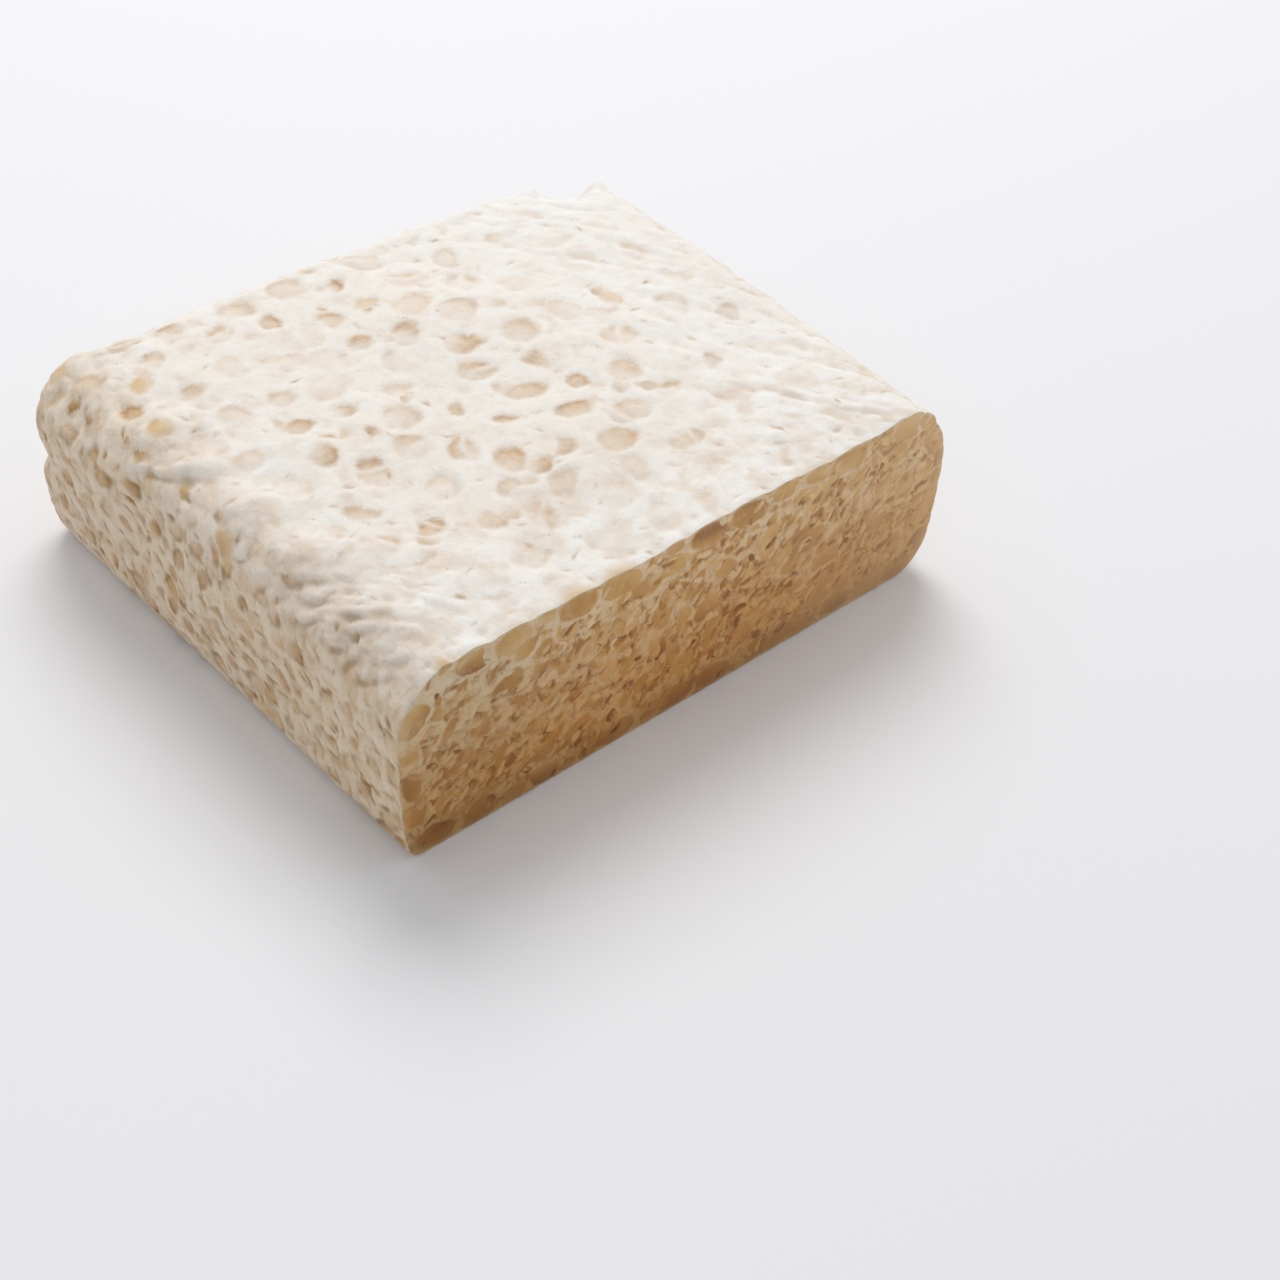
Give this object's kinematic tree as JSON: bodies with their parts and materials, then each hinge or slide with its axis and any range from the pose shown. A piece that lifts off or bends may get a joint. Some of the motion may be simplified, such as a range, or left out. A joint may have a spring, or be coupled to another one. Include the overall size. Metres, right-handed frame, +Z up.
{
  "type": "tempeh cake",
  "caption": "Thick slab of whole soybeans bound by white mould, soft rounded edges, one end sliced off flat to show the beans inside.",
  "frame": {"origin": "centre of the bounding box at the underside", "axes": "+X along the cut, the longest side; +Y from the cut to the closed end; +Z up"},
  "size_m": [0.1514, 0.1268, 0.0453],
  "materials": {
    "tempeh": "matte white mould skin over tan beans"
  },
  "bodies": {
    "root": {"tempeh_block": "tempeh"}
  },
  "joints": []
}
